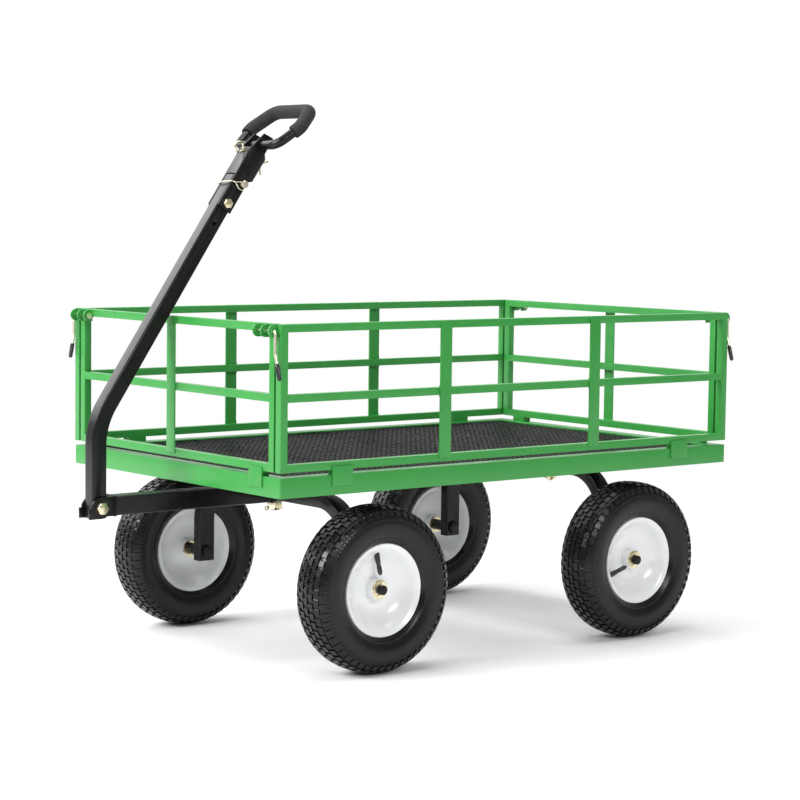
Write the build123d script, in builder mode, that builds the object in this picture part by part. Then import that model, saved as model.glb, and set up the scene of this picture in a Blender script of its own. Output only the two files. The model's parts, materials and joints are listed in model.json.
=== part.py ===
"""Garden cart: a steel deck on four pneumatic wheels, with a panel rack, steered axle and pull handle.

Frame: +X forward (handle end), +Y the cart's left, +Z up, ground at Z = 0, millimetres.
"""
from build123d import *
import os
from math import cos, radians, sin

os.makedirs("parts", exist_ok=True)

# ---- driving dimensions -------------------------------------------------------------------
bed_length = 1192.0
bed_width = 734.0
band_bottom = 360.0
band_height = 38.0
band_thickness = 3.0
flange_width = 30.0
mesh_thickness = 3.0

panel_gap = 10.0
panel_height = 277.0
rail_height = 15.0
tube = 16.0
upright_width = 28.0
plate = 3.0

wheel_radius = 165.0
track_half = 329.0
wheelbase = 687.0
tyre_half_width = 46.0
hub_half = 20.0
axle_radius = 9.5
running_clearance = 0.05

leg_depth = 38.0
leg_width = 25.0
leg_inner = 245.0
leg_bottom = 146.0
arch_bend = 87.5
front_beam_bottom = 306.0
rear_beam_bottom = 328.0

pivot_reach = 769.4
pivot_height = 317.5
ear_radius = 26.0
handle_depth = 32.0
handle_width = 30.0
handle_foot = 297.0
handle_knee = 480.7
handle_lean = 55.8
knee_radius = 144.0

latch_axis = 8.0
latch_ear_radius = 12.0
latch_rod = 3.0
latch_head_radius = 7.0
cap_radius = 4.5

# ---- derived places -----------------------------------------------------------------------
latch_reach = bed_length / 2 + latch_axis + latch_ear_radius
bed_x = (latch_reach - pivot_reach - ear_radius) / 2
front_x = bed_x + bed_length / 2
rear_x = bed_x - bed_length / 2
side_y = bed_width / 2
band_top = band_bottom + band_height
mesh_top = band_top - band_thickness
frame_top = mesh_top - mesh_thickness
panel_bottom = band_top + panel_gap
panel_top = panel_bottom + panel_height
king_x = bed_x + wheelbase / 2
rear_axle_x = bed_x - wheelbase / 2
pivot_x = bed_x + pivot_reach
latch_z = panel_top - latch_ear_radius - 1.0
# Each wheel: axle, side, and how far its valve is turned from the top towards the front, in degrees.
WHEELS = {
    "front_left": (king_x, 1, 4.0),
    "front_right": (king_x, -1, 150.0),
    "rear_left": (rear_axle_x, 1, 114.0),
    "rear_right": (rear_axle_x, -1, 235.0),
}


def save(builder, name):
    builder.part.label = name
    export_step(builder.part, f"parts/{name}.step")


def bar(centre, size, mode=Mode.ADD):
    with Locations(centre):
        Box(*size, mode=mode)


def rod_y(centre, radius, length, mode=Mode.ADD):
    with Locations(centre):
        Cylinder(radius, length, rotation=(90, 0, 0), mode=mode)


def rod_z(centre, radius, length, mode=Mode.ADD):
    with Locations(centre):
        Cylinder(radius, length, mode=mode)


# ---- deck ---------------------------------------------------------------------------------
with BuildPart() as deck_frame:
    bar((bed_x, 0, band_bottom + band_height / 2), (bed_length, bed_width, band_height))
    fillet(deck_frame.edges().filter_by(Axis.Z), 4.0)
    bar((bed_x, 0, band_bottom + (band_height - band_thickness) / 2),
        (bed_length - 2 * band_thickness, bed_width - 2 * band_thickness, band_height - band_thickness),
        Mode.SUBTRACT)
    bar((bed_x, 0, band_top),
        (bed_length - 2 * flange_width, bed_width - 2 * flange_width, 4 * band_thickness), Mode.SUBTRACT)
save(deck_frame, "deck_frame")

with BuildPart() as deck_mesh:
    bar((bed_x, 0, frame_top + mesh_thickness / 2),
        (bed_length - 2 * band_thickness - 0.4, bed_width - 2 * band_thickness - 0.4, mesh_thickness))
save(deck_mesh, "deck_mesh")

cross_height = frame_top - band_bottom - 5.0
cross_width = 80.0
cross_wall = 4.0
mount_bolt_y = 84.0
cross_z = frame_top - cross_height / 2
inner_width = bed_width - 2 * band_thickness - 0.4


def cross_channel(x):
    with BuildPart() as channel:
        bar((x, 0, cross_z), (cross_width, inner_width, cross_height))
        bar((x, 0, cross_z - cross_wall / 2),
            (cross_width - 2 * cross_wall, inner_width, cross_height - cross_wall), Mode.SUBTRACT)
    return channel


with BuildPart() as cross_channels:
    for channel_x in (king_x, bed_x, rear_axle_x):
        add(cross_channel(channel_x).part)
    rod_z((king_x, 0, frame_top), axle_radius, 4 * cross_wall, Mode.SUBTRACT)
    for bolt_y in (-mount_bolt_y, mount_bolt_y):
        rod_z((rear_axle_x, bolt_y, frame_top), 6.0, 4 * cross_wall, Mode.SUBTRACT)
save(cross_channels, "cross_channels")

# ---- steering head and rear mount ---------------------------------------------------------
beam_top_front = front_beam_bottom + leg_width
beam_top_rear = rear_beam_bottom + leg_width
channel_bottom = frame_top - cross_height
thrust_thickness = 8.5
thrust_radius = 18.5
head_bottom = beam_top_front + thrust_thickness + 0.5
head_width = 120.0

with BuildPart() as steering_head:
    head_height = channel_bottom - head_bottom
    head_z = head_bottom + head_height / 2
    bar((king_x, 0, head_z), (cross_width, head_width, head_height))
    bar((king_x, 0, head_z + 3.0),
        (cross_width - 10.0, 2 * head_width, head_height - 6.0), Mode.SUBTRACT)
    with Locations((king_x, 0, head_bottom)):
        Cylinder(16.0, head_height, align=(Align.CENTER, Align.CENTER, Align.MIN))
    rod_z((king_x, 0, head_bottom), axle_radius, 4 * cross_height, Mode.SUBTRACT)
save(steering_head, "steering_head")

with BuildPart() as rear_mount:
    bar((rear_axle_x, 0, (beam_top_rear + channel_bottom) / 2),
        (60.0, 230.0, channel_bottom - beam_top_rear))
    for bolt_y in (-mount_bolt_y, mount_bolt_y):
        rod_z((rear_axle_x, bolt_y, beam_top_rear), 6.0, 60.0, Mode.SUBTRACT)
save(rear_mount, "rear_mount_plate")


# ---- axles --------------------------------------------------------------------------------
def axle_arch(x, beam_bottom, holes):
    """Rectangular tube bent into an arch: a level beam with a leg down to each wheel."""
    leg_y = leg_inner + leg_width / 2
    beam_z = beam_bottom + leg_width / 2
    with BuildPart() as arch:
        with BuildLine(Plane.YZ.offset(x)) as route:
            FilletPolyline((-leg_y, leg_bottom), (-leg_y, beam_z), (leg_y, beam_z), (leg_y, leg_bottom),
                           radius=arch_bend)
        with BuildSketch(Plane(origin=(x, -leg_y, leg_bottom), x_dir=(1, 0, 0), z_dir=(0, 0, 1))):
            RectangleRounded(leg_depth, leg_width, 3.0)
            Rectangle(leg_depth - 6.0, leg_width - 6.0, mode=Mode.SUBTRACT)
        sweep(path=route.wire())
        for side in (-1, 1):
            rod_y((x, side * leg_y, wheel_radius), axle_radius, 2 * leg_width, Mode.SUBTRACT)
        for hole_y, hole_radius in holes:
            rod_z((x, hole_y, beam_z), hole_radius, 2 * leg_width, Mode.SUBTRACT)
    return arch


front_arch = axle_arch(king_x, front_beam_bottom, [(0, axle_radius + running_clearance)])
save(front_arch, "front_axle_beam")
rear_arch = axle_arch(rear_axle_x, rear_beam_bottom, [(-mount_bolt_y, 6.0), (mount_bolt_y, 6.0)])
save(rear_arch, "rear_axle_beam")

with BuildPart() as thrust_washer:
    with Locations((king_x, 0, beam_top_front)):
        Cylinder(thrust_radius, thrust_thickness, align=(Align.CENTER, Align.CENTER, Align.MIN))
    rod_z((king_x, 0, beam_top_front), axle_radius + running_clearance, 60.0, Mode.SUBTRACT)
save(thrust_washer, "steering_thrust_washer")


def castle_nut(x, y, top, across, height, bore):
    """Hexagon nut standing down from its top face, with six slots cut in the lower end."""
    with BuildPart() as nut:
        with BuildSketch(Plane.XY.offset(top - height)):
            with Locations((x, y)):
                RegularPolygon(across / 2, 6, major_radius=False)
                Circle(bore, mode=Mode.SUBTRACT)
        extrude(amount=height)
        with Locations((x, y, top - height)):
            with PolarLocations(across / 2, 3):
                Box(across * 2.5, 4.0, 8.0, mode=Mode.SUBTRACT)
    return nut


king_nut_top = front_beam_bottom - 3.5
king_tip = king_nut_top - 20.0
king_cotter_z = king_nut_top - 16.2
with BuildPart() as kingpin:
    king_top = frame_top - cross_wall
    rod_z((king_x, 0, (king_top + king_tip) / 2), axle_radius, king_top - king_tip)
    with BuildSketch(Plane.XY.offset(channel_bottom)):
        with Locations((king_x, 0)):
            RegularPolygon(14.0, 6, major_radius=False)
    extrude(amount=12.0)
    with Locations((king_x, 0, king_cotter_z)):
        Cylinder(1.8, 40.0, rotation=(0, 90, 0), mode=Mode.SUBTRACT)
save(kingpin, "kingpin")

king_nut = castle_nut(king_x, 0, king_nut_top, 28.0, 18.0, axle_radius)
save(king_nut, "kingpin_castle_nut")

with BuildPart() as kingpin_cotter:
    with Locations((king_x, 0, king_cotter_z)):
        Cylinder(1.6, 38.0, rotation=(0, 90, 0))
    with Locations((king_x + 21.0, 0, king_cotter_z)):
        Torus(3.4, 1.4, rotation=(90, 0, 0))
save(kingpin_cotter, "kingpin_cotter_pin")

with BuildPart() as rear_mount_bolts:
    for bolt_y in (-mount_bolt_y, mount_bolt_y):
        bolt_top = frame_top - cross_wall
        bolt_tip = rear_beam_bottom - 20.0
        rod_z((rear_axle_x, bolt_y, (bolt_top + bolt_tip) / 2), 6.0, bolt_top - bolt_tip)
        with BuildSketch(Plane.XY.offset(channel_bottom)):
            with Locations((rear_axle_x, bolt_y)):
                RegularPolygon(9.5, 6, major_radius=False)
        extrude(amount=8.0)
save(rear_mount_bolts, "rear_mount_bolts")

with BuildPart() as rear_mount_nuts:
    for bolt_y in (-mount_bolt_y, mount_bolt_y):
        nut = castle_nut(rear_axle_x, bolt_y, rear_beam_bottom, 24.0, 16.0, 6.0)
        add(nut.part)
save(rear_mount_nuts, "rear_mount_castle_nuts")


# ---- stub axles and their hardware --------------------------------------------------------
axle_head = 5.0
spacer_radius = 12.0
spacer_end = track_half - hub_half - 2.0
washer_start = track_half + hub_half + 2.0
washer_thickness = 2.5
axle_tip = washer_start + washer_thickness + 8.0
cotter_y = washer_start + washer_thickness + 2.4


def stub_axles(x):
    with BuildPart() as pins:
        for side in (-1, 1):
            rod_y((x, side * (leg_inner + axle_tip) / 2, wheel_radius), axle_radius, axle_tip - leg_inner)
            with Locations((x, side * (leg_inner - axle_head / 2), wheel_radius)):
                Cylinder(13.0, axle_head, rotation=(90, 0, 0))
            with Locations((x, side * cotter_y, wheel_radius)):
                Cylinder(1.8, 30.0, mode=Mode.SUBTRACT)
    return pins


def axle_washers(x):
    with BuildPart() as washers:
        for side in (-1, 1):
            spacer_start = leg_inner + leg_width
            rod_y((x, side * (spacer_start + spacer_end) / 2, wheel_radius), spacer_radius,
                  spacer_end - spacer_start)
            rod_y((x, side * (washer_start + washer_thickness / 2), wheel_radius), 16.5, washer_thickness)
            rod_y((x, side * track_half, wheel_radius), axle_radius, 200.0, Mode.SUBTRACT)
    return washers


def axle_cotters(x):
    with BuildPart() as cotters:
        for side in (-1, 1):
            rod_z((x, side * cotter_y, wheel_radius - 1.0), 1.6, 27.0)
            with Locations((x, side * cotter_y, wheel_radius + 15.2)):
                Torus(3.4, 1.4, rotation=(90, 0, 0))
    return cotters


for end_name, axle_x in (("front", king_x), ("rear", rear_axle_x)):
    save(stub_axles(axle_x), f"{end_name}_stub_axles")
    save(axle_washers(axle_x), f"{end_name}_axle_washers")
    save(axle_cotters(axle_x), f"{end_name}_axle_cotter_pins")


# ---- wheels -------------------------------------------------------------------------------
valve_radius = 4.0
valve_place = 67.0
valve_lean = 0.25


def wheel_plane(x, side):
    """Local x runs outward along the axle from the wheel's mid-plane, local y is the radius."""
    return Plane(origin=(x, side * track_half, wheel_radius), x_dir=(0, side, 0), z_dir=(side, 0, 0))


def wheel_axis(x, side):
    return Axis((x, side * track_half, wheel_radius), (0, 1, 0))


def tyre_section(plane):
    half = tyre_half_width
    with BuildSketch(plane) as section:
        with BuildLine():
            for side in (-1, 1):
                ThreePointArc((side * 33, 91), (side * half, 124), (side * 38, 153))
                ThreePointArc((side * 38, 153), (side * 22, 162.6), (0, wheel_radius))
                Line((side * 33, 91), (side * 30, 90))
                Line((side * 30, 90), (side * 28, 78))
                Line((side * 28, 78), (side * 19, 78))
                Line((side * 19, 78), (side * 24, 92))
                ThreePointArc((side * 24, 92), (side * 38, 124), (side * 31, 147))
                ThreePointArc((side * 31, 147), (side * 17, 154.5), (0, 156))
        make_face()
    return section.sketch


def tube_section(plane):
    """Thin-walled inner tube that fills the tyre's cavity."""
    with BuildSketch(plane) as section:
        with Locations((0, 117)):
            Ellipse(27, 36)
            Ellipse(25, 34, mode=Mode.SUBTRACT)
    return section.sketch


def rim_half_section(plane, side):
    """One pressed half of the rim: disc, bowl, bead seat and flange."""
    with BuildSketch(plane) as section:
        with BuildLine() as centre_line:
            FilletPolyline((side * 1.3, 22), (side * 1.3, 52), (side * 13, 70), (side * 27, 75),
                           (side * 31.3, 80), (side * 32, 90), radius=3.0)
        trace(centre_line.line, 2.4)
    return section.sketch


def valve_stem(x, side, turn, radius, mode):
    """Short stem that rises from the bowl wall towards the hub, leaning outward."""
    out_x = sin(radians(turn))
    out_z = cos(radians(turn))
    foot = (x + valve_place * out_x, side * (track_half + 16.0), wheel_radius + valve_place * out_z)
    across = (out_z, 0, -out_x)
    inward = Plane(origin=foot, x_dir=across, z_dir=(-out_x, side * valve_lean, -out_z))
    outward = Plane(origin=foot, x_dir=across, z_dir=(out_x, -side * valve_lean, out_z))
    for plane, length in ((inward, 34.0), (outward, 20.0)):
        with BuildSketch(plane) as section:
            Circle(radius)
        extrude(section.sketch, amount=length, mode=mode)


def build_wheel(name, x, side, valve_turn):
    plane = wheel_plane(x, side)
    axis = wheel_axis(x, side)
    centre = (x, side * track_half, wheel_radius)
    with BuildPart() as tyre:
        revolve(tyre_section(plane), axis=axis)
    save(tyre, f"{name}_tyre")
    with BuildPart() as inner_tube:
        revolve(tube_section(plane), axis=axis)
        valve_stem(x, side, valve_turn, valve_radius, Mode.ADD)
    save(inner_tube, f"{name}_inner_tube")
    with BuildPart() as rim:
        for half in (-1, 1):
            revolve(rim_half_section(plane, half), axis=axis)
        valve_stem(x, side, valve_turn, valve_radius + 0.2, Mode.SUBTRACT)
    save(rim, f"{name}_rim")
    with BuildPart() as hub:
        rod_y(centre, 20.5, 2 * hub_half)
        rod_y(centre, 15.5, 2 * hub_half + 1.0, Mode.SUBTRACT)
    save(hub, f"{name}_hub")
    with BuildPart() as bearings:
        for end in (-1, 1):
            rod_y((x, side * track_half + end * (hub_half - 6.0), wheel_radius), 15.5, 12.0)
            rod_y((x, side * track_half + end * (hub_half + 0.75), wheel_radius), 19.0, 1.5)
        rod_y(centre, axle_radius + running_clearance, 2 * hub_half + 10.0, Mode.SUBTRACT)
    save(bearings, f"{name}_bearings")


for wheel_name, (wheel_x, wheel_side, wheel_valve) in WHEELS.items():
    build_wheel(wheel_name, wheel_x, wheel_side, wheel_valve)

# ---- tongue and handle --------------------------------------------------------------------
tongue_height = 38.0
tongue_width = 38.0
tongue_bottom = 301.0
tongue_rear = king_x + leg_depth / 2
clevis_rear = pivot_x - 33.0
tongue_length = clevis_rear - tongue_rear
tongue_x = (tongue_rear + clevis_rear) / 2
tongue_z = tongue_bottom + tongue_height / 2
with BuildPart() as tongue:
    bar((tongue_x, 0, tongue_z), (tongue_length, tongue_width, tongue_height))
    fillet(tongue.edges().filter_by(Axis.X), 3.5)
    bar((tongue_x, 0, tongue_z), (tongue_length, tongue_width - 6.0, tongue_height - 6.0), Mode.SUBTRACT)
save(tongue, "tongue_tube")

ear_inner = handle_width / 2 + 0.8
ear_thickness = 5.0
with BuildPart() as clevis:
    bar((clevis_rear + 2.5, 0, tongue_z), (5.0, 2 * (ear_inner + ear_thickness), tongue_height))
    for side in (-1, 1):
        ear_y = side * (ear_inner + ear_thickness / 2)
        bar(((clevis_rear + pivot_x) / 2, ear_y, tongue_z),
            (pivot_x - clevis_rear, ear_thickness, tongue_height))
        with BuildSketch(Plane.XZ.offset(-ear_y - ear_thickness / 2)):
            with Locations((pivot_x, pivot_height)):
                Circle(20.5)
            with Locations((pivot_x + 13.0, pivot_height - 10.25)):
                Rectangle(26.0, 20.5)
        extrude(amount=ear_thickness)
    rod_y((pivot_x, 0, pivot_height), 6.5, 100.0, Mode.SUBTRACT)
save(clevis, "tongue_clevis")

bolt_reach = ear_inner + ear_thickness
with BuildPart() as handle_bolt:
    rod_y((pivot_x, -3.0, pivot_height), 6.5, 2 * bolt_reach + 18.0)
    with BuildSketch(Plane.XZ.offset(-bolt_reach - 8.0)):
        with Locations((pivot_x, pivot_height)):
            RegularPolygon(11.0, 6, major_radius=False)
    extrude(amount=8.0)
save(handle_bolt, "handle_pivot_bolt")
with BuildPart() as handle_nut:
    with BuildSketch(Plane.XZ.offset(bolt_reach)):
        with Locations((pivot_x, pivot_height)):
            RegularPolygon(10.5, 6, major_radius=False)
            Circle(6.5, mode=Mode.SUBTRACT)
    extrude(amount=10.0)
save(handle_nut, "handle_pivot_nut")

lean = radians(handle_lean)
tube_end = 575.0


def on_handle(along, back=0.0):
    """X and Z of a place on the upper handle: distance along it from the knee, and behind its centre."""
    x = pivot_x - along * cos(lean) - back * sin(lean)
    z = handle_knee + along * sin(lean) - back * cos(lean)
    return x, z


bolt_along = 515.0
hitch_along = 565.0
hitch_back = 6.0
with BuildPart() as handle_tube:
    with BuildLine(Plane.XZ) as handle_route:
        FilletPolyline((pivot_x, handle_foot), (pivot_x, handle_knee), on_handle(tube_end),
                       radius=knee_radius)
    with BuildSketch(Plane(origin=(pivot_x, 0, handle_foot), x_dir=(1, 0, 0), z_dir=(0, 0, 1))):
        RectangleRounded(handle_depth, handle_width, 3.5)
        Rectangle(handle_depth - 5.0, handle_width - 5.0, mode=Mode.SUBTRACT)
    sweep(path=handle_route.wire())
    rod_y((pivot_x, 0, pivot_height), 6.5 + running_clearance, 60.0, Mode.SUBTRACT)
    for hole_along, hole_back, hole_radius in ((bolt_along, 0.0, 5.0), (466.0, 0.0, 4.0),
                                               (hitch_along, hitch_back, 5.5 + running_clearance)):
        hole_x, hole_z = on_handle(hole_along, hole_back)
        rod_y((hole_x, 0, hole_z), hole_radius, 60.0, Mode.SUBTRACT)
save(handle_tube, "handle_tube")

# The head is a box section with two cheeks that run down over the tube's sides.
cheek_inner = handle_width / 2 + 0.3
cheek_thickness = 3.5
cheek_outer = cheek_inner + cheek_thickness
cotter_along = 632.0
loop_along = 660.0
loop_back = 5.0
loop_tube = 9.5
cheek_outline = ((502, -15), (502, 18), (578, 18), (585, 26), (640, 27), (648, 20), (686, 19), (682, -4),
                 (648, -13), (640, -16), (506, -16))
loop_x, loop_z = on_handle(loop_along, loop_back)
with BuildPart() as head:
    for side in (-1, 1):
        with BuildSketch(Plane.XZ.offset(-side * cheek_inner - (cheek_thickness if side > 0 else 0))):
            Polygon(*[on_handle(a, b) for a, b in cheek_outline], align=None)
        extrude(amount=cheek_thickness)
    for web_along, web_back, web_length in ((610.0, -14.4, 64.0), (612.0, 24.6, 52.0)):
        web_x, web_z = on_handle(web_along, web_back)
        with Locations((web_x, 0, web_z)):
            Box(web_length, 2 * cheek_inner, 3.2, rotation=(0, handle_lean, 0))
    rod_y((loop_x, 0, loop_z), loop_tube, 80.0, Mode.SUBTRACT)
    for hole_along, hole_back, hole_radius in ((bolt_along, 0.0, 5.0),
                                               (hitch_along, hitch_back, 5.5 + running_clearance)):
        hole_x, hole_z = on_handle(hole_along, hole_back)
        rod_y((hole_x, 0, hole_z), hole_radius, 60.0, Mode.SUBTRACT)
    cotter_x, cotter_z = on_handle(cotter_along)
    with Locations((cotter_x, 0, cotter_z)):
        Cylinder(2.6, 90.0, rotation=(0, handle_lean, 0), mode=Mode.SUBTRACT)
save(head, "handle_head")

# ---- grip loop ----------------------------------------------------------------------------
loop_rise = 38.3
loop_plane = Plane(origin=(loop_x, 0, loop_z), x_dir=(0, 1, 0),
                   z_dir=(sin(radians(loop_rise)), 0, cos(radians(loop_rise))))
loop_side = 68.0
loop_wide = 84.0
loop_shoulder = 58.0
loop_bar = 60.0
loop_length = 113.0
loop_bend = 26.0
foam_start = 40.0
foam_inset = loop_side + (loop_wide - loop_side) * foam_start / loop_shoulder
with BuildPart() as grip_loop:
    with BuildLine(loop_plane) as loop_route:
        FilletPolyline((-loop_side, 0), (-loop_wide, loop_shoulder), (-loop_bar, loop_length),
                       (loop_bar, loop_length), (loop_wide, loop_shoulder), (loop_side, 0),
                       radius=loop_bend, close=True)
    with BuildSketch(Plane(origin=loop_route.wire() @ 0, z_dir=loop_route.wire() % 0)):
        Circle(loop_tube)
        Circle(loop_tube - 2.0, mode=Mode.SUBTRACT)
    sweep(path=loop_route.wire())
save(grip_loop, "grip_loop")

foam_radius = 14.0
with BuildPart() as foam_grip:
    with BuildLine(loop_plane) as foam_route:
        FilletPolyline((-foam_inset, foam_start), (-loop_wide, loop_shoulder), (-loop_bar, loop_length),
                       (loop_bar, loop_length), (loop_wide, loop_shoulder), (foam_inset, foam_start),
                       radius=loop_bend)
    with BuildSketch(Plane(origin=foam_route.wire() @ 0, z_dir=foam_route.wire() % 0)):
        Circle(foam_radius)
        Circle(loop_tube, mode=Mode.SUBTRACT)
    sweep(path=foam_route.wire())
save(foam_grip, "foam_grip")

# ---- head fasteners -----------------------------------------------------------------------
bolt_x, bolt_z = on_handle(bolt_along)
with BuildPart() as head_bolt:
    rod_y((bolt_x, -2.0, bolt_z), 5.0, 2 * cheek_outer + 16.0)
    with BuildSketch(Plane.XZ.offset(-cheek_outer - 7.0)):
        with Locations((bolt_x, bolt_z)):
            RegularPolygon(9.0, 6, major_radius=False)
    extrude(amount=7.0)
save(head_bolt, "head_bolt")
with BuildPart() as head_nut:
    with BuildSketch(Plane.XZ.offset(cheek_outer)):
        with Locations((bolt_x, bolt_z)):
            RegularPolygon(8.5, 6, major_radius=False)
            Circle(5.0, mode=Mode.SUBTRACT)
    extrude(amount=8.0)
save(head_nut, "head_bolt_nut")

hitch_x, hitch_z = on_handle(hitch_along, hitch_back)
with BuildPart() as hitch_pin:
    rod_y((hitch_x, 0, hitch_z), 5.5, 60.0)
    rod_y((hitch_x, 33.0, hitch_z), 9.0, 6.0)
    rod_y((hitch_x, -30.5, hitch_z), 4.5, 1.0)
save(hitch_pin, "hitch_pin")

wire_y = cheek_outer + 3.0
link_turn = 0.75
corner_x, corner_z = on_handle(hitch_along - 14.0, -handle_depth / 2 - 3.4)
far_x, far_z = on_handle(hitch_along - 16.0, 0.0)
crimp_x, crimp_z = on_handle(hitch_along - 8.0, -9.0)
with BuildPart() as lanyard:
    with BuildLine() as lanyard_route:
        FilletPolyline((crimp_x, wire_y, crimp_z), (corner_x, wire_y, corner_z),
                       (corner_x, -wire_y, corner_z), (far_x, -wire_y, far_z), radius=4.5)
    with BuildSketch(Plane(origin=lanyard_route.wire() @ 0, z_dir=lanyard_route.wire() % 0)):
        Circle(1.3)
    sweep(path=lanyard_route.wire())
    with Locations((far_x, -wire_y, far_z)):
        Cylinder(4.0, 5.0, rotation=(90, 0, 0))
    link_dir = (cos(lean - link_turn), 0, -sin(lean - link_turn))
    with BuildSketch(Plane(origin=(hitch_x, wire_y + 1.0, hitch_z), x_dir=link_dir, z_dir=(0, 1, 0))):
        RegularPolygon(16.0, 3, rotation=180)
        RegularPolygon(12.8, 3, rotation=180, mode=Mode.SUBTRACT)
    extrude(amount=2.4)
save(lanyard, "hitch_pin_lanyard")

eye_x, eye_z = on_handle(cotter_along, -28.6)
shank_x, shank_z = on_handle(cotter_along, 10.0)
with BuildPart() as head_cotter:
    with Locations((shank_x, 0, shank_z)):
        Cylinder(2.5, 58.0, rotation=(0, handle_lean, 0))
    with Locations((eye_x, 0, eye_z)):
        Torus(10.0, 1.8, rotation=(90, 0, 0))
save(head_cotter, "head_cotter_pin")


# ---- rack panels --------------------------------------------------------------------------
mid_rail_z = (panel_bottom + panel_top) / 2
rail_levels = (panel_bottom + rail_height / 2, mid_rail_z, panel_top - rail_height / 2)
panel_z = (panel_bottom + panel_top) / 2
upright_bottom = panel_bottom + rail_height / 2
tab_width = 48.0
tab_height = 38.0
tab_z = (panel_bottom + 7.0) - tab_height / 2
ear_places = (303.0, 327.0)


def latch_ear(x, direction, y):
    """Round-ended plate square to the cart's width, with the latch pin's hole."""
    axis_x = x + direction * latch_axis
    with BuildSketch(Plane.XZ.offset(-y - plate / 2)) as outline:
        with Locations((axis_x, latch_z)):
            Circle(latch_ear_radius)
        with Locations(((x + axis_x) / 2 - direction * 1.0, latch_z)):
            Rectangle(latch_axis + 2.0, 2 * latch_ear_radius)
    extrude(outline.sketch, amount=plate)
    rod_y((axis_x, y, latch_z), latch_rod + running_clearance, 3 * plate, Mode.SUBTRACT)


def side_panel(side):
    wall_y = side * (side_y - tube / 2)
    with BuildPart() as panel:
        for level in rail_levels:
            bar((bed_x, wall_y, level), (bed_length, tube, rail_height))
        for end in (-1, 1):
            bar((bed_x + end * (bed_length - tube) / 2, wall_y, panel_z), (tube, tube, panel_height))
        fillet(panel.edges().filter_by(Axis.X).group_by(Axis.Z)[-1], 1.5)
        for place in (-200.0, 200.0):
            upright_height = panel_top - upright_bottom
            bar((bed_x + place, side * (side_y + plate / 2), upright_bottom + upright_height / 2),
                (upright_width, plate, upright_height))
        for place in (-452.0, 452.0):
            bar((bed_x + place, side * (side_y + plate / 2), tab_z), (tab_width, plate, tab_height))
            bar((bed_x + place, wall_y, band_top + panel_gap / 2), (tab_width - 6.0, tube, panel_gap))
        for end in (-1, 1):
            latch_ear(bed_x + end * bed_length / 2, end, side * (side_y - tube + plate / 2))
    return panel


def end_panel(end):
    wall_x = bed_x + end * (bed_length - tube) / 2
    face_x = bed_x + end * bed_length / 2
    half_width = side_y - tube - 6.0
    with BuildPart() as panel:
        for level in rail_levels:
            bar((wall_x, 0, level), (tube, 2 * half_width, rail_height))
        for side in (-1, 1):
            bar((wall_x, side * (half_width - tube / 2), panel_z), (tube, tube, panel_height))
        upright_height = panel_top - upright_bottom
        bar((face_x + end * plate / 2, 0, upright_bottom + upright_height / 2),
            (plate, upright_width, upright_height))
        for side in (-1, 1):
            bar((face_x + end * plate / 2, side * 290.0, tab_z), (plate, tab_width - 6.0, tab_height))
            bar((wall_x, side * 290.0, band_top + panel_gap / 2), (tube, tab_width - 10.0, panel_gap))
            for place in ear_places:
                latch_ear(face_x, end, side * place)
    return panel


save(side_panel(1), "left_side_panel")
save(side_panel(-1), "right_side_panel")
save(end_panel(1), "front_panel")
save(end_panel(-1), "rear_panel")


# ---- corner latch pins --------------------------------------------------------------------
def latch_pin(end, side):
    axis_x = bed_x + end * (bed_length / 2 + latch_axis)
    hang_y = side * (side_y - tube + plate + 5.0)
    with BuildPart() as pin:
        with BuildLine() as pin_route:
            FilletPolyline((axis_x, side * 296.0, latch_z), (axis_x, hang_y, latch_z),
                           (axis_x, hang_y, latch_z - 42.0), (axis_x, hang_y + side * 14.0, latch_z - 88.0),
                           radius=5.0)
        with BuildSketch(Plane(origin=(axis_x, side * 296.0, latch_z), z_dir=(0, side, 0))):
            Circle(latch_rod)
        sweep(path=pin_route.wire())
        rod_y((axis_x, side * 297.5, latch_z), latch_head_radius, 3.0)
    return pin


def latch_cap(end, side):
    axis_x = bed_x + end * (bed_length / 2 + latch_axis)
    hang_y = side * (side_y - tube + plate + 5.0)
    slope = Vector(0, side * 14.0, -46.0).normalized()
    start = Vector(axis_x, hang_y, latch_z - 42.0) + slope * 22.0
    with BuildPart() as cap:
        with BuildSketch(Plane(origin=start, z_dir=slope)):
            Circle(cap_radius)
        extrude(amount=30.0)
        fillet(cap.faces().sort_by(Axis.Z)[0].edges(), 3.0)
        with BuildSketch(Plane(origin=start, z_dir=slope)):
            Circle(latch_rod)
        extrude(amount=26.2, mode=Mode.SUBTRACT)
    return cap


for corner_name, corner_end, corner_side in (("front_left", 1, 1), ("front_right", 1, -1),
                                             ("rear_left", -1, 1), ("rear_right", -1, -1)):
    with BuildPart() as latch:
        add(latch_pin(corner_end, corner_side).part)
        add(latch_cap(corner_end, corner_side).part)
    save(latch, f"{corner_name}_latch_pin")
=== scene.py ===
"""Garden cart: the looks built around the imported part. Metres, +X forward, +Y left, +Z up."""

import json
import math
import random

import bmesh
import bpy
from mathutils import Matrix, Vector


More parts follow.
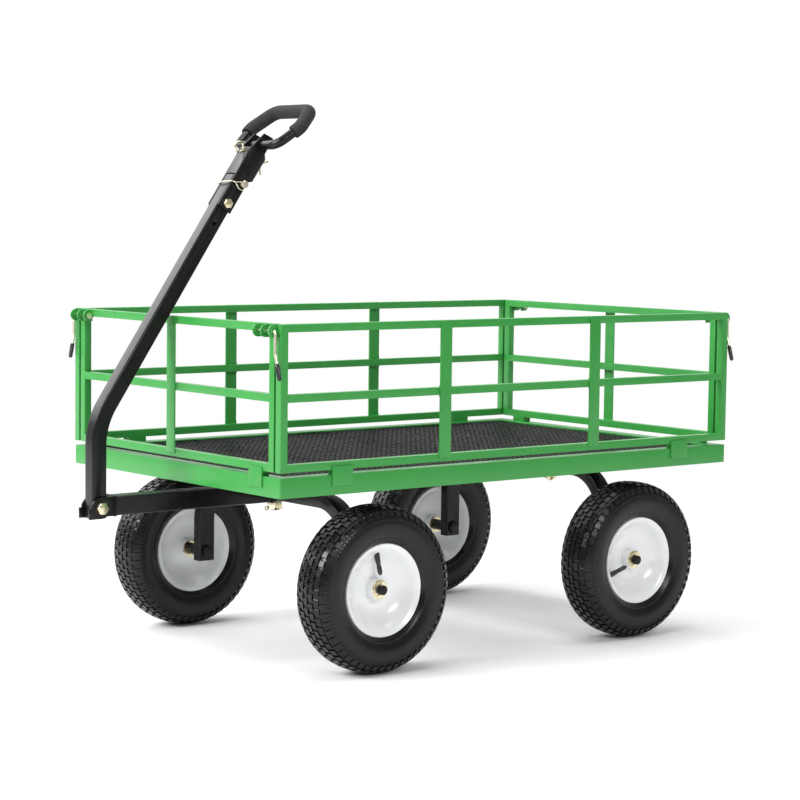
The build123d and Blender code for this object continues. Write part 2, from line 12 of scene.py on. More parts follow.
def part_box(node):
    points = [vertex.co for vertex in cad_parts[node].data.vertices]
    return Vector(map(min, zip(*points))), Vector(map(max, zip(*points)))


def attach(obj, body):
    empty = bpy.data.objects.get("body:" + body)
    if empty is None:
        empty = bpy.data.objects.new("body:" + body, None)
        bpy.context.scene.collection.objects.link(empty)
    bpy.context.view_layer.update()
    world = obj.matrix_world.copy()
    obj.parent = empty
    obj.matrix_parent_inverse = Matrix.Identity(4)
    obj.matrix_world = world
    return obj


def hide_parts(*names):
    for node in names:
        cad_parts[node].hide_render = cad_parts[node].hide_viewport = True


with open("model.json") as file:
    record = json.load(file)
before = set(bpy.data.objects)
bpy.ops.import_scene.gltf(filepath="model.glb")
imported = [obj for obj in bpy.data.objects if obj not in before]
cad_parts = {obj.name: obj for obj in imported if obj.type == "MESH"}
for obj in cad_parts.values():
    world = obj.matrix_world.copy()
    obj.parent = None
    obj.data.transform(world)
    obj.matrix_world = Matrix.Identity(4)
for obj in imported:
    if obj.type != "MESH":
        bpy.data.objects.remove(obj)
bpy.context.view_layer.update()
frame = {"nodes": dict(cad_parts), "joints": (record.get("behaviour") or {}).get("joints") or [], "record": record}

# ---- camera -------------------------------------------------------------------------------
camera_yaw = math.radians(51.15)
camera_pitch = math.radians(4.76)
camera_roll = math.radians(0.73)
camera_place = Vector((3.0208, 3.8400, 0.9048))

forward = -Vector((math.cos(camera_yaw) * math.cos(camera_pitch),
                   math.sin(camera_yaw) * math.cos(camera_pitch), math.sin(camera_pitch)))
level_right = forward.cross(Vector((0, 0, 1))).normalized()
level_up = level_right.cross(forward)
right = level_right * math.cos(camera_roll) + level_up * math.sin(camera_roll)
up = level_up * math.cos(camera_roll) - level_right * math.sin(camera_roll)
camera = bpy.data.objects.new("camera", bpy.data.cameras.new("camera"))
camera.data.lens = 104.56
camera.data.sensor_width = 36.0
camera.data.clip_end = 200.0
camera_turn = Matrix((right, up, -forward)).transposed().to_4x4()
camera.matrix_world = Matrix.Translation(camera_place) @ camera_turn
bpy.context.scene.collection.objects.link(camera)
bpy.context.scene.camera = camera


# ---- materials ----------------------------------------------------------------------------
def material(name, colour, rough, metal=0.0, coat=0.0, grain=900.0, bump=0.04, mottling=0.12, second=None,
             cloud=14.0, specular=0.5):
    """Painted, plated or moulded finish: fine surface grain, slow colour drift and uneven gloss."""
    rough_spread = 0.10
    made = bpy.data.materials.new(name)
    made.use_nodes = True
    nodes, links = made.node_tree.nodes, made.node_tree.links
    shader = nodes["Principled BSDF"]
    shader.inputs["Metallic"].default_value = metal
    shader.inputs["Coat Weight"].default_value = coat
    shader.inputs["Coat Roughness"].default_value = 0.12
    shader.inputs["Specular IOR Level"].default_value = specular
    place = nodes.new("ShaderNodeTexCoord")
    slow = nodes.new("ShaderNodeTexNoise")
    slow.inputs["Scale"].default_value = cloud
    slow.inputs["Detail"].default_value = 5.0
    fine = nodes.new("ShaderNodeTexNoise")
    fine.inputs["Scale"].default_value = grain
    fine.inputs["Detail"].default_value = 2.0
    links.new(place.outputs["Object"], slow.inputs["Vector"])
    links.new(place.outputs["Object"], fine.inputs["Vector"])
    drift = nodes.new("ShaderNodeValToRGB")
    drift.color_ramp.elements[0].position = 0.32
    drift.color_ramp.elements[1].position = 0.70
    low = second or tuple(c * (1.0 - mottling) for c in colour)
    drift.color_ramp.elements[0].color = (*low, 1.0)
    drift.color_ramp.elements[1].color = (*colour, 1.0)
    links.new(slow.outputs["Fac"], drift.inputs["Fac"])
    links.new(drift.outputs["Color"], shader.inputs["Base Color"])
    gloss = nodes.new("ShaderNodeMapRange")
    gloss.inputs["To Min"].default_value = max(0.03, rough - rough_spread)
    gloss.inputs["To Max"].default_value = min(1.0, rough + rough_spread)
    links.new(slow.outputs["Fac"], gloss.inputs["Value"])
    links.new(gloss.outputs["Result"], shader.inputs["Roughness"])
    relief = nodes.new("ShaderNodeBump")
    relief.inputs["Strength"].default_value = bump
    relief.inputs["Distance"].default_value = 0.001
    links.new(fine.outputs["Fac"], relief.inputs["Height"])
    links.new(relief.outputs["Normal"], shader.inputs["Normal"])
    return made


green = material("green_powder_coat", (0.032, 0.280, 0.046), 0.34, grain=650, bump=0.10, mottling=0.06)
black = material("black_powder_coat", (0.006, 0.006, 0.0065), 0.28, grain=650, bump=0.12, specular=0.26)
mesh_black = material("mesh_black", (0.008, 0.008, 0.008), 0.45, grain=500, bump=0.15)
white = material("white_enamel", (0.80, 0.81, 0.82), 0.24, coat=0.50, grain=350, bump=0.03, mottling=0.03)
zinc = material("yellow_zinc", (0.86, 0.74, 0.45), 0.28, metal=1.0, grain=1400, bump=0.05,
                second=(0.74, 0.68, 0.52), cloud=120.0)
cream_zinc = material("cream_zinc", (0.84, 0.80, 0.66), 0.30, metal=1.0, grain=1400, bump=0.05,
                      second=(0.78, 0.72, 0.55), cloud=90.0)
rubber = material("tyre_rubber", (0.006, 0.006, 0.0065), 0.25, grain=420, bump=0.14, mottling=0.25,
                  cloud=30.0, specular=0.30)
tube_rubber = material("butyl_rubber", (0.022, 0.022, 0.022), 0.5, grain=600, bump=0.08)
foam = material("foam", (0.026, 0.026, 0.027), 0.85, grain=1100, bump=0.55, mottling=0.2, cloud=60.0,
                specular=0.3)
vinyl = material("black_vinyl", (0.015, 0.015, 0.015), 0.30, coat=0.1, grain=300, bump=0.03)


# ---- mesh helpers -------------------------------------------------------------------------
def settle(bm, name, finish, body, sharp_deg=32.0):
    """Turns a bmesh into a piece that rides on a body, smooth except across edges sharper than the limit."""
    bmesh.ops.recalc_face_normals(bm, faces=bm.faces[:])
    limit = math.radians(sharp_deg)
    for face in bm.faces:
        face.smooth = True
    for edge in bm.edges:
        edge.smooth = len(edge.link_faces) == 2 and edge.calc_face_angle(0.0) < limit
    data = bpy.data.meshes.new(name)
    bm.to_mesh(data)
    bm.free()
    data.materials.append(finish)
    piece = bpy.data.objects.new(name, data)
    bpy.context.scene.collection.objects.link(piece)
    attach(piece, body)
    return piece


node_body = {n: b for b, members in frame["record"]["behaviour"]["bodies"].items() for n in members}


def finished(node, finish, bevel=0.0007, segments=2):
    """Welded copy of a CAD node with its hard edges softened."""
    bm = bmesh.new()
    bm.from_mesh(frame["nodes"][node].data)
    bmesh.ops.remove_doubles(bm, verts=bm.verts[:], dist=0.00002)
    bmesh.ops.dissolve_limit(bm, angle_limit=math.radians(1.0), verts=bm.verts[:], edges=bm.edges[:])
    if bevel:
        hard = [e for e in bm.edges if len(e.link_faces) == 2 and e.calc_face_angle(0.0) > math.radians(40)
                and e.is_convex]
        bmesh.ops.bevel(bm, geom=hard, offset=bevel, segments=segments, profile=0.5, affect="EDGES",
                        clamp_overlap=True)
    bmesh.ops.triangulate(bm, faces=[f for f in bm.faces if len(f.verts) > 4])
    piece = settle(bm, node + "_finish", finish, node_body[node])
    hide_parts(node)
    return piece


def lathe(bm, outline, centre, outward, steps):
    """Spins a closed outline of (distance outward, radius) points about the axle through centre."""
    rings = []
    for step in range(steps):
        turn = 2 * math.pi * step / steps
        across, above = math.sin(turn), math.cos(turn)
        rings.append([bm.verts.new((centre.x + r * across, centre.y + outward * y, centre.z + r * above))
                      for y, r in outline])
    count = len(outline)
    for step in range(steps):
        here, there = rings[step], rings[(step + 1) % steps]
        for i in range(count):
            j = (i + 1) % count
            bm.faces.new((here[i], here[j], there[j], there[i]))


def rounded_path(points, bend, steps=7):
    """Corner points turned into a path with each inner corner replaced by an arc."""
    points = [Vector(p) for p in points]
    path = [points[0]]
    for before, corner, after in zip(points, points[1:], points[2:]):
        back, ahead = (before - corner).normalized(), (after - corner).normalized()
        half = back.angle(ahead) / 2
        reach = min(bend / math.tan(half), 0.48 * (before - corner).length, 0.48 * (after - corner).length)
        start, end = corner + back * reach, corner + ahead * reach
        for k in range(steps + 1):
            t = k / steps
            path.append(start * (1 - t) ** 2 + corner * 2 * t * (1 - t) + end * t ** 2)
    path.append(points[-1])
    return path


dome_angles = (0.45, 0.9, 1.35)


def tube(bm, path, radius, steps=14, dome=False):
    """Round bar along a path; radius may vary along it. A dome rounds both ends."""
    radii = radius if isinstance(radius, list) else [radius] * len(path)
    path = [Vector(p) for p in path]
    if dome:
        first, last = (path[0] - path[1]).normalized(), (path[-1] - path[-2]).normalized()
        head = [(path[0] + first * radii[0] * math.sin(a), radii[0] * math.cos(a)) for a in dome_angles[::-1]]
        tail = [(path[-1] + last * radii[-1] * math.sin(a), radii[-1] * math.cos(a)) for a in dome_angles]
        path = [p for p, _ in head] + path + [p for p, _ in tail]
        radii = [r for _, r in head] + radii + [r for _, r in tail]
    along = (path[1] - path[0]).normalized()
    side = along.orthogonal().normalized()
    rings = []
    for i, place in enumerate(path):
        ahead = (path[min(i + 1, len(path) - 1)] - path[max(i - 1, 0)]).normalized()
        side = (side - ahead * side.dot(ahead)).normalized()
        other = ahead.cross(side)
        rings.append([bm.verts.new(place + (side * math.cos(a) + other * math.sin(a)) * radii[i])
                      for a in (2 * math.pi * k / steps for k in range(steps))])
    for here, there in zip(rings, rings[1:]):
        for k in range(steps):
            bm.faces.new((here[k], here[(k + 1) % steps], there[(k + 1) % steps], there[k]))
    bm.faces.new(rings[0])
    bm.faces.new(rings[-1])


# ---- CAD pieces that keep their shape -------------------------------------------------------
corners = ("front_left", "front_right", "rear_left", "rear_right")
joints = {j["name"]: j for j in frame["joints"]}
for node in ("deck_frame", "left_side_panel", "right_side_panel", "front_panel", "rear_panel"):
    finished(node, green, bevel=0.0010, segments=3)
for node in ("cross_channels", "steering_head", "rear_mount_plate", "rear_axle_beam", "front_axle_beam",
             "tongue_tube", "tongue_clevis", "handle_tube", "handle_head", "front_stub_axles",
             "rear_stub_axles", "kingpin"):
    finished(node, black, bevel=0.0009)
finished("grip_loop", black, bevel=0.0)
for node in ("kingpin_castle_nut", "kingpin_cotter_pin", "rear_mount_bolts", "rear_mount_castle_nuts",
             "steering_thrust_washer", "handle_pivot_bolt", "handle_pivot_nut", "head_bolt", "head_bolt_nut"):
    finished(node, zinc, bevel=0.0008)
finished("foam_grip", foam, bevel=0.0025, segments=4)
for corner in corners:
    finished(corner + "_hub", white, bevel=0.0010)
    finished(corner + "_bearings", zinc, bevel=0.0005)
    finished(corner + "_inner_tube", tube_rubber, bevel=0.0005)


# ---- axle spacers and washers ---------------------------------------------------------------
mm = 0.001
axle_bore = 9.5
spacer_start, spacer_gap, spacer_radius = 270.2, 2.0, 12.0
washer_thickness, washer_radius = 2.5, 16.5


def flat_ring(bm, centre, outward, start, end, bore, radius, edge=0.5):
    """Flat ring on an axle, with small chamfers, between two distances from the cart's middle in mm."""
    profile = [(start, bore), (start, radius - edge), (start + edge, radius), (end - edge, radius),
               (end, radius - edge), (end, bore)]
    lathe(bm, [(y * mm, r * mm) for y, r in profile], centre, outward, 48)


for end in ("front", "rear"):
    low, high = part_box(end + "_axle_washers")
    hub_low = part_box(end + "_left_hub")[0]
    centre = Vector(((low.x + high.x) / 2, 0, (low.z + high.z) / 2))
    washer_end = high.y / mm
    spacer_end = hub_low.y / mm - spacer_gap
    spacers, washers = bmesh.new(), bmesh.new()
    for outward in (-1, 1):
        flat_ring(spacers, centre, outward, spacer_start, spacer_end, axle_bore, spacer_radius)
        flat_ring(washers, centre, outward, washer_end - washer_thickness, washer_end, axle_bore,
                  washer_radius)
    body = node_body[end + "_axle_washers"]
    made = settle(spacers, end + "_axle_spacers", black, body)
    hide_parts(end + "_axle_washers")
    settle(washers, end + "_outer_washers", zinc, body)

# ---- tyres --------------------------------------------------------------------------------
# Outlines are (distance from the tyre's middle, radius) in mm: the sidewall from bead to crown, and the
# air space from crown to bead.
crown_radius = 161.6
sidewall = [(30, 90.4), (32.6, 91.2), (35.2, 93.6), (37.6, 97.2), (39.9, 99.4), (40.7, 101.0), (40.6, 102.8),
            (42.2, 107), (43.6, 112), (44.6, 117.5), (45.1, 123), (45.2, 129), (44.7, 135), (44.1, 138.6),
            (44.3, 140.2), (43.9, 141.8), (42.8, 143.2), (41.8, 146.4), (40.2, 150), (37.8, 153.2),
            (34.4, 156.0), (30.0, 158.2), (24.0, 159.9), (16.0, 161.0), (8.0, 161.5)]
cavity = [(8, 155), (17, 153.5), (27, 148.5), (33, 142), (36.5, 133), (38, 124), (36, 112), (30.5, 101),
          (24, 92), (17, 79.5), (20.5, 79), (25.5, 84.5), (28.8, 88.6)]
# A row of blocks: distance from the crown along the surface, width, length, height, slant; mm.
tread_count = 54
shoulder_ribs = (53.0, 8.0, 3.4, 0.9, 0.0)
tread_rows = ((0.0, 10.4, 14.6, 3.2, 0.0), (14.0, 11.8, 14.2, 3.1, 0.06), (28.2, 11.8, 14.0, 3.0, 0.08),
              (42.2, 11.2, 13.2, 2.7, 0.0))
block_sink = 0.8
block_turn_radius = 162.0
slope_reach = 0.8


def along_profile(side):
    """Finds places on the tyre's outer surface by the distance from the crown along it."""
    line = [(0.0, crown_radius)] + [(side * y, r) for y, r in reversed(sidewall)]
    runs, total = [], 0.0
    for (y0, r0), (y1, r1) in zip(line, line[1:]):
        span = math.hypot(y1 - y0, r1 - r0)
        runs.append((total, total + span, (y0, r0), (y1, r1)))
        total += span

    def place(distance):
        for start, end, (y0, r0), (y1, r1) in runs:
            if distance <= end:
                break
        t = (distance - start) / (end - start)
        return y0 + (y1 - y0) * t, r0 + (r1 - r0) * t

    return place


def block(bm, centre, outward, place, side, row, turn):
    """One tread block, narrower at its top, wrapped over the tyre's curve."""
    distance, wide, long, rise, slant = row
    rows = []
    for height, taper in ((-block_sink, 1.0), (rise * 0.85, 0.93), (rise, 0.80)):
        outline = []
        for a, b in ((-1, -1), (0, -1), (1, -1), (1, 1), (0, 1), (-1, 1)):
            d = distance + a * wide / 2 * taper
            if d >= 0:
                y, r = place(d)
            else:
                y, r = place(-d)
                y = -y
            far, near = place(abs(d) + slope_reach), place(max(abs(d) - slope_reach, 0.0))
            fall, run = abs(far[1] - near[1]), abs(far[0] - near[0])
            size = math.hypot(fall, run)
            ny, nr = side * fall / size * (1 if d >= 0 else -1), run / size
            yy, rr = y + ny * height, r + nr * height
            dv = b * long / 2 * taper + slant * a * wide / 2 * side
            angle = turn + dv / block_turn_radius
            outline.append(bm.verts.new((centre.x + rr * mm * math.sin(angle), centre.y + outward * yy * mm,
                                         centre.z + rr * mm * math.cos(angle))))
        rows.append(outline)
    for here, there in zip(rows, rows[1:]):
        for k in range(6):
            bm.faces.new((here[k], here[(k + 1) % 6], there[(k + 1) % 6], there[k]))
    bm.faces.new(rows[-1])


def build_tyre(corner):
    centre = Vector(joints[corner + "_wheel_spin"]["pos_m"])
    outward = 1 if centre.y > 0 else -1
    bm = bmesh.new()
    outer = [(-y, r) for y, r in sidewall] + [(0, crown_radius)] + [(y, r) for y, r in reversed(sidewall)]
    inner = [(y, r) for y, r in reversed(cavity)] + [(-y, r) for y, r in cavity]
    lathe(bm, [(y * mm, r * mm) for y, r in outer + inner], centre, outward, 160)
    for side in (-1, 1):
        place = along_profile(side)
        for index, row in enumerate(tread_rows):
            if index == 0 and side < 0:
                continue
            for k in range(tread_count):
                turn = 2 * math.pi * (k + 0.5 * (index % 2)) / tread_count
                block(bm, centre, outward, place, side, row, turn)
        for k in range(2 * tread_count):
            turn = math.pi * (k + 0.5) / tread_count
            block(bm, centre, outward, place, side, shoulder_ribs, turn)
    made = settle(bm, corner + "_tyre_treaded", rubber, corner + "_wheel", sharp_deg=28)
    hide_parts(corner + "_tyre")


# ---- rims, valves -------------------------------------------------------------------------
# Middle of the pressed sheet from hub to bead, as (distance from the wheel's middle, radius); mm.
rim_sheet = 2.2
rim_line = [(1.3, 19.5), (1.3, 34), (1.9, 44), (4.6, 54), (9.6, 63), (16.2, 70.6), (23.0, 76.6), (28.4, 81.6),
            (31.4, 86.0), (33.0, 89.4), (34.0, 91.0)]


def smooth_line(points, steps=4):
    """Catmull-Rom curve through the points."""
    padded = [points[0]] + points + [points[-1]]
    out = []
    for a, b, c, d in zip(padded, padded[1:], padded[2:], padded[3:]):
        for k in range(steps):
            t = k / steps
            out.append(tuple(0.5 * (2 * q + (r - p) * t + (2 * p - 5 * q + 4 * r - s) * t * t
                                    + (3 * q - p - 3 * r + s) * t ** 3) for p, q, r, s in zip(a, b, c, d)))
    out.append(points[-1])
    return out


def thicken(line, thick):
    """Closed outline of a pressed sheet whose middle follows the line."""
    one, two = [], []
    for i, (y, r) in enumerate(line):
        before, after = line[max(i - 1, 0)], line[min(i + 1, len(line) - 1)]
        dy, dr = after[0] - before[0], after[1] - before[1]
        size = math.hypot(dy, dr)
        one.append((y - dr / size * thick / 2, r + dy / size * thick / 2))
        two.append((y + dr / size * thick / 2, r - dy / size * thick / 2))
    return one + two[::-1]


# Degrees from straight up, towards the front.
valve_turns = {"front_left": 4.0, "front_right": 150.0, "rear_left": 114.0, "rear_right": 235.0}


def build_rim(corner):
    centre = Vector(joints[corner + "_wheel_spin"]["pos_m"])
    outward = 1 if centre.y > 0 else -1
    line = smooth_line(rim_line)
    bm = bmesh.new()
    for side in (-1, 1):
        lathe(bm, [(side * y * mm, r * mm) for y, r in thicken(line, rim_sheet)], centre, outward, 144)
    made = settle(bm, corner + "_rim_pressed", white, corner + "_wheel")
    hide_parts(corner + "_rim")
    bm = bmesh.new()
    turn = math.radians(valve_turns[corner])
    radial = Vector((math.sin(turn), 0, math.cos(turn)))
    lean = (Vector((0, outward * 0.25, 0)) - radial).normalized()
    foot = centre + Vector((0, outward * 0.016, 0)) + radial * 0.067
    tip = foot + lean * 0.034
    tube(bm, [foot + lean * 0.020, foot + lean * 0.021, foot + lean * 0.033, tip + lean * 0.001],
         [0.0046, 0.0048, 0.0048, 0.0042], steps=18, dome=True)
    settle(bm, corner + "_valve_cap", vinyl, corner + "_wheel")
    bm = bmesh.new()
    tube(bm, [foot - lean * 0.006, foot + lean * 0.004, foot + lean * 0.015, foot + lean * 0.017],
         [0.0062, 0.0056, 0.0048, 0.0042], steps=18)
    settle(bm, corner + "_valve_boot", vinyl, corner + "_wheel")


for corner in corners:
    build_tyre(corner)
    build_rim(corner)


# ---- deck: expanded steel sheet -------------------------------------------------------------
low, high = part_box("deck_mesh")
sheet_mid = (low + high) / 2
long_way, short_way, strand = 0.0400, 0.0165, 0.0032
bm = bmesh.new()
columns = int((high.x - low.x) / long_way) - 1
rows = int((high.y - low.y) / short_way) - 1
shrink = 1 - strand / (long_way * short_way / math.hypot(long_way, short_way))
diamond = [(long_way / 2, 0), (0, short_way / 2), (-long_way / 2, 0), (0, -short_way / 2)]
levels = (sheet_mid.z + 0.0004, sheet_mid.z - 0.0004)
for column in range(2 * columns - 1):
    for row in range(2 * rows - 1):
        if (column + row) % 2:
            continue
        x = sheet_mid.x + (column - columns + 1) * long_way / 2
        y = sheet_mid.y + (row - rows + 1) * short_way / 2
        outer = [bm.verts.new((x + a, y + b, levels[k % 2])) for k, (a, b) in enumerate(diamond)]
        inner = [bm.verts.new((x + a * shrink, y + b * shrink, levels[k % 2]))
                 for k, (a, b) in enumerate(diamond)]
        for k in range(4):
            bm.faces.new((outer[k], outer[(k + 1) % 4], inner[(k + 1) % 4], inner[k]))
bmesh.ops.remove_doubles(bm, verts=bm.verts[:], dist=0.0001)
deck = settle(bm, "deck_expanded_mesh", mesh_black, "chassis")
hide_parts("deck_mesh")
thickness = deck.modifiers.new("thickness", "SOLIDIFY")
thickness.thickness = 0.0018
thickness.offset = 0.0


# ---- latch pins ---------------------------------------------------------------------------
latch_head_radius = 0.007
for corner in corners:
    low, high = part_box(corner + "_latch_pin")
    outward = 1 if high.y > 0 else -1
    x = (low.x + high.x) / 2
    axle_z = high.z - latch_head_radius
    inner_y = low.y if outward > 0 else high.y
    bend_y = inner_y + outward * 0.063
    knee = Vector((x, bend_y, axle_z - 0.042))
    slope = Vector((0, outward * 14.0, -46.0)).normalized()
    bm = bmesh.new()
    bends = [(x, inner_y + outward * 0.0005, axle_z), (x, bend_y, axle_z), knee, knee + slope * 0.046]
    tube(bm, rounded_path(bends, 0.006), 0.0030, steps=16)
    head = [Vector((x, inner_y + outward * reach, axle_z)) for reach in (0.0004, 0.0028)]
    tube(bm, head, [0.0069, 0.0066], steps=28)
    made = settle(bm, corner + "_latch_rod", cream_zinc, corner + "_latch")
    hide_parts(corner + "_latch_pin")
    bm = bmesh.new()
    start = knee + slope * 0.021
    tube(bm, [start, start + slope * 0.001, start + slope * 0.010, start + slope * 0.0265],
         [0.0040, 0.0044, 0.0045, 0.0042], steps=20, dome=True)
    settle(bm, corner + "_latch_tip", vinyl, corner + "_latch")


# ---- cotter pins --------------------------------------------------------------------------
def cotter(bm, eye, shank, spread, length, wire, eye_radius, splay):
    """Split pin: a round eye and two legs that bend apart past the hole."""
    legs = []
    for side in (-1, 1):
        gap = spread * side * wire
        root = eye + shank * eye_radius + gap
        far = root + shank * (length * 0.72)
        legs.append([root, far, far + (shank * 0.6 + spread * side * splay).normalized() * length * 0.28])
    loop = []
    for k in range(15):
        a = math.radians(-62 + 304 * k / 14)
        loop.append(eye + (spread * math.cos(a) - shank * math.sin(a)) * eye_radius)
    path = legs[1][::-1] + loop + legs[0]
    tube(bm, rounded_path(path, 0.0015, 2), wire, steps=10)


for end in ("front", "rear"):
    low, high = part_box(end + "_axle_cotter_pins")
    bm = bmesh.new()
    x = (low.x + high.x) / 2
    for y in (low.y + 0.0016, high.y - 0.0016):
        eye = Vector((x, y, high.z - 0.005))
        cotter(bm, eye, Vector((0, 0, -1)), Vector((1, 0, 0)), 0.026, 0.0009, 0.0036, 1.1)
    body = node_body[end + "_axle_cotter_pins"]
    made = settle(bm, end + "_split_pins", zinc, body)
    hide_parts(end + "_axle_cotter_pins")

low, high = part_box("head_cotter_pin")
handle_lean = math.radians(55.8)
rearward = Vector((-math.sin(handle_lean), 0, -math.cos(handle_lean)))
downward = Vector((math.cos(handle_lean), 0, -math.sin(handle_lean)))
eye = Vector((high.x - 0.0118, 0, high.z - 0.0118))
bm = bmesh.new()
cotter(bm, eye, rearward, downward, 0.070, 0.0020, 0.0102, 0.65)
made = settle(bm, "head_split_pin", zinc, "handle")
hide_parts("head_cotter_pin")


# ---- hitch pin and its wire -----------------------------------------------------------------
low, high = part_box("hitch_pin")
pin_centre = Vector(((low.x + high.x) / 2, 0, (low.z + high.z) / 2))
bm = bmesh.new()
tube(bm, [pin_centre + Vector((0, y, 0)) for y in (low.y, low.y + 0.0015, high.y - 0.006)],
     [0.0044, 0.0055, 0.0055], steps=28)
tube(bm, [pin_centre + Vector((0, y, 0)) for y in (high.y - 0.0062, high.y - 0.0055, high.y - 0.001, high.y)],
     [0.0068, 0.0074, 0.0074, 0.0066], steps=32)
made = settle(bm, "hitch_pin_turned", cream_zinc, "hitch_pin_body")
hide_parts("hitch_pin")



def by_pin(down, back, y):
    """A place on the upper handle, from the hitch pin: down the tube, towards its rear, and across."""
    return Vector((pin_centre.x, y, pin_centre.z)) + downward * down + rearward * back


cheek = 0.0188
wire_y = cheek + 0.0042
wire_radius = 0.0011
front_edge = -0.0254
bm = bmesh.new()
apex = by_pin(0.0050, -0.0150, wire_y)
link = [apex, by_pin(-0.0098, 0.0045, wire_y), by_pin(-0.0030, 0.0098, wire_y),
        by_pin(0.0098, 0.0075, wire_y), by_pin(0.0112, -0.0010, wire_y), apex + downward * 0.0006]
tube(bm, rounded_path(link, 0.004, 6), wire_radius, steps=10, dome=True)
crossing = [apex, by_pin(0.0088, front_edge, wire_y), by_pin(0.0120, front_edge, -wire_y),
            by_pin(0.0150, -0.0060, -wire_y)]
tube(bm, rounded_path(crossing, 0.0040, 6), wire_radius, steps=10)
tube(bm, [apex, by_pin(0.0066, -0.0190, wire_y)], [0.0022, 0.0020], steps=12, dome=True)
anchor = by_pin(0.0150, -0.0060, 0)
tube(bm, [anchor + Vector((0, -cheek - 0.0055, 0)), anchor + Vector((0, -cheek + 0.0005, 0))],
     [0.0036, 0.0040], steps=20)
made = settle(bm, "hitch_pin_wire", cream_zinc, "handle")
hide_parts("hitch_pin_lanyard")


# ---- weld beads ---------------------------------------------------------------------------
random.seed(7)


def bead(name, runs, body, finish, radius):
    """Fillet weld: a short run of overlapping ripples."""
    bm = bmesh.new()
    for start, end in runs:
        start, end = Vector(start), Vector(end)
        count = max(5, int((end - start).length / 0.0011))
        path = [start.lerp(end, k / count) for k in range(count + 1)]
        radii = [radius * (0.86 + 0.16 * math.sin(k * 2.1) + 0.05 * random.random())
                 for k in range(count + 1)]
        tube(bm, path, radii, steps=9, dome=True)
    return settle(bm, name, finish, body, sharp_deg=60)


def square_runs(x, low, high):
    """The four sides of a rectangular tube that meets a plate at x."""
    return [((x, low.y, low.z), (x, high.y, low.z)), ((x, high.y, low.z), (x, high.y, high.z)),
            ((x, high.y, high.z), (x, low.y, high.z)), ((x, low.y, high.z), (x, low.y, low.z))]


low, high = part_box("tongue_tube")
inset = Vector((0, 0.0004, 0.0004))
runs = (square_runs(high.x - 0.0005, low + inset, high - inset)
        + square_runs(low.x + 0.0006, low + inset, high - inset))
bead("tongue_welds", runs, "front_axle", black, 0.0024)

panel_face_y = 0.367
for side_name, side in (("left", 1), ("right", -1)):
    low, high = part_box(side_name + "_side_panel")
    face = side * panel_face_y
    middle = (low.x + high.x) / 2
    runs = []
    for place in (-0.2, 0.2):
        for level in (0.5400, 0.5535, 0.4235):
            for edge in (-0.014, 0.014):
                x = middle + place + edge
                runs.append(((x, face, level - 0.004), (x, face, level + 0.004)))
    for place in (-0.452, 0.452):
        for edge in (-0.024, 0.024):
            x = middle + place + edge
            runs.append(((x, face, 0.410), (x, face, 0.4145)))
    bead(side_name + "_panel_welds", runs, "chassis", green, 0.0011)


# ---- studio -------------------------------------------------------------------------------
# Floor and sky turn to plain white towards the far side of the cart.
backdrop_heading = (-0.627, -0.779, 0.0)
floor_data = bpy.data.meshes.new("floor")
reach = 40.0
floor_data.from_pydata([(-reach, -reach, 0), (reach, -reach, 0), (reach, reach, 0), (-reach, reach, 0)], [],
                       [(0, 1, 2, 3)])
floor = bpy.data.objects.new("floor", floor_data)
floor_finish = material("pale_floor", (0.90, 0.90, 0.90), 0.6, grain=90, bump=0.01, mottling=0.01)
floor_nodes, floor_links = floor_finish.node_tree.nodes, floor_finish.node_tree.links
ground = floor_nodes.new("ShaderNodeTexCoord")
behind = floor_nodes.new("ShaderNodeVectorMath")
behind.operation = "DOT_PRODUCT"
behind.inputs[1].default_value = backdrop_heading
fade = floor_nodes.new("ShaderNodeMapRange")
fade.interpolation_type = "SMOOTHSTEP"
fade.inputs["From Min"].default_value = 0.6
fade.inputs["From Max"].default_value = 3.6
glow = floor_nodes.new("ShaderNodeEmission")
blend = floor_nodes.new("ShaderNodeMixShader")
floor_links.new(ground.outputs["Object"], behind.inputs[0])
floor_links.new(behind.outputs["Value"], fade.inputs["Value"])
floor_links.new(fade.outputs["Result"], blend.inputs["Fac"])
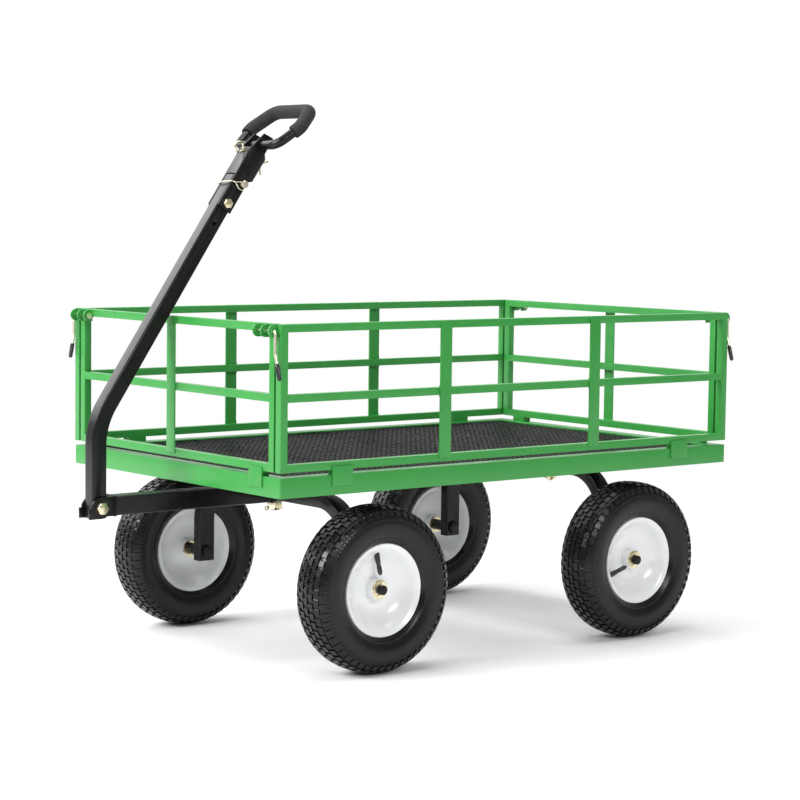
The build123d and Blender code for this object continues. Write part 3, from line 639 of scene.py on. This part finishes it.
floor_links.new(floor_nodes["Principled BSDF"].outputs["BSDF"], blend.inputs[1])
floor_links.new(glow.outputs["Emission"], blend.inputs[2])
floor_links.new(blend.outputs["Shader"], floor_nodes["Material Output"].inputs["Surface"])
floor_data.materials.append(floor_finish)
bpy.context.scene.collection.objects.link(floor)

world = bpy.data.worlds.new("studio")
bpy.context.scene.world = world
world.use_nodes = True
sky_nodes, sky_links = world.node_tree.nodes, world.node_tree.links
sky_nodes["Background"].inputs["Color"].default_value = (1.0, 1.0, 1.0, 1.0)
heading = sky_nodes.new("ShaderNodeTexCoord")
facing = sky_nodes.new("ShaderNodeVectorMath")
facing.operation = "DOT_PRODUCT"
facing.inputs[1].default_value = backdrop_heading
backdrop = sky_nodes.new("ShaderNodeMapRange")
backdrop.interpolation_type = "SMOOTHSTEP"
backdrop.inputs["From Min"].default_value = -0.10
backdrop.inputs["From Max"].default_value = 0.93
backdrop.inputs["To Min"].default_value = 0.30
backdrop.inputs["To Max"].default_value = 1.05
sky_links.new(heading.outputs["Generated"], facing.inputs[0])
sky_links.new(facing.outputs["Value"], backdrop.inputs["Value"])
sky_links.new(backdrop.outputs["Result"], sky_nodes["Background"].inputs["Strength"])


def softbox(name, place, aim, size, power):
    """Rectangular lamp aimed at a point."""
    lamp = bpy.data.lights.new(name, "AREA")
    lamp.shape = "RECTANGLE"
    lamp.size, lamp.size_y = size
    lamp.energy = power
    made = bpy.data.objects.new(name, lamp)
    made.location = place
    made.rotation_euler = (Vector(aim) - Vector(place)).to_track_quat("-Z", "Y").to_euler()
    bpy.context.scene.collection.objects.link(made)


softbox("side", (2.0, -5.4, 4.3), (0.45, 0.0, 0.8), (5.0, 4.6), 270.0)
softbox("key", (4.4, -0.6, 3.2), (0.0, 0.0, 0.4), (2.0, 2.0), 260.0)
softbox("fill", (0.8, 5.0, 3.0), (0.0, 0.0, 0.4), (2.4, 1.4), 100.0)
softbox("top", (0.0, 0.0, 4.2), (0.0, 0.0, 0.0), (3.0, 3.0), 110.0)
bpy.context.scene.view_settings.view_transform = "Standard"
